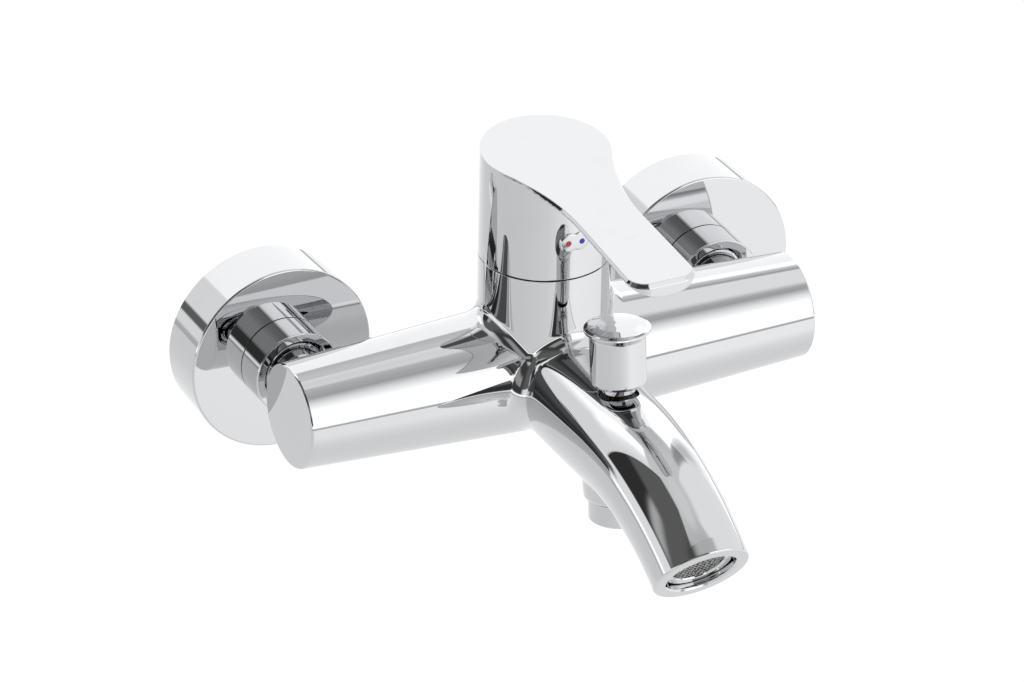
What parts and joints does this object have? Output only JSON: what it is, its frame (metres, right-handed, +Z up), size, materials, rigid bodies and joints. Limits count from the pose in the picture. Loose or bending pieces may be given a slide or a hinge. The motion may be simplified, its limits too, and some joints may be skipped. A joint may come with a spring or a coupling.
{
  "type": "wall mounted bath faucet",
  "caption": "Wall mounted single-lever bath mixer: horizontal body on two wall unions, upright cartridge barrel with lever cap, curved spout with pull diverter and threaded hose outlet.",
  "frame": {"origin": "on the wall face, midway between the two inlets, at the height of the body axis", "axes": "+X to the right as seen from the room, +Y into the wall, +Z up"},
  "size_m": [0.2128, 0.1965, 0.1109],
  "materials": {
    "chrome": "polished chrome plate on brass",
    "red_mark": "gloss enamel",
    "blue_mark": "gloss enamel",
    "steel": "bright stainless",
    "white_plastic": "moulded",
    "aerator_plastic": "moulded",
    "black_plastic": "moulded",
    "ceramic": "lapped",
    "rubber": "matt",
    "brass": "machined"
  },
  "bodies": {
    "mixer": {"valve_body": "chrome", "fixed_disc": "ceramic", "cartridge_base": "white_plastic", "port_seals": "rubber", "cartridge_housing": "white_plastic", "cartridge_nut": "brass", "trim_cover": "chrome", "wall_flange_left": "chrome", "wall_flange_right": "chrome", "eccentric_union_left": "brass", "eccentric_union_right": "brass", "union_nut_left": "chrome", "union_nut_right": "chrome", "inlet_tail_left": "chrome", "inlet_tail_right": "chrome", "union_washer_left": "rubber", "union_washer_right": "rubber", "inlet_screen_left": "steel", "inlet_screen_right": "steel", "diverter_bonnet": "brass", "bonnet_seal": "rubber", "diverter_spring": "steel", "hose_nipple": "chrome", "nipple_seal": "rubber", "check_cage": "black_plastic", "check_spring": "steel", "aerator_shell": "chrome", "aerator_washer": "rubber", "aerator_insert": "aerator_plastic", "aerator_mesh": "steel"},
    "turner": {"turning_sleeve": "white_plastic", "pivot_pin": "steel"},
    "lever": {"handle": "chrome", "index_plug": "chrome", "red_dot": "red_mark", "blue_dot": "blue_mark", "set_screw": "steel", "spindle": "steel"},
    "disc": {"disc_carrier": "white_plastic", "moving_disc": "ceramic"},
    "diverter": {"diverter_knob": "chrome", "diverter_stem": "brass", "shower_seat_washer": "rubber", "spout_seat_washer": "rubber"},
    "poppet": {"check_poppet": "white_plastic"}
  },
  "joints": [
    {"name": "lever_turn", "type": "hinge", "parent": "mixer", "child": "turner", "pos_m": [0, -0.0554, 0.04], "axis": [0, 0, 1], "range_deg": [-50, 50]},
    {"name": "lever_lift", "type": "hinge", "parent": "turner", "child": "lever", "pos_m": [0, -0.0554, 0.052], "axis": [-1, 0, 0], "range_deg": [0, 20]},
    {"name": "disc_slide", "type": "slide", "parent": "turner", "child": "disc", "axis": [0, -1, 0], "range_m": [0, 0.0093]},
    {"name": "diverter_pull", "type": "slide", "parent": "mixer", "child": "diverter", "axis": [0, 0.0802, 0.9968], "range_m": [0, 0.0075], "stiffness_N_per_m": 150, "springref_m": -0.004, "deforming": ["diverter_spring"]},
    {"name": "check_open", "type": "slide", "parent": "mixer", "child": "poppet", "axis": [0, -0.0802, -0.9968], "range_m": [0, 0.0024], "stiffness_N_per_m": 60, "springref_m": -0.003, "deforming": ["check_spring"]}
  ],
  "couplings": [
    {"joint": "disc_slide", "follows": "lever_lift", "m_per_rad": 0.02662}
  ]
}
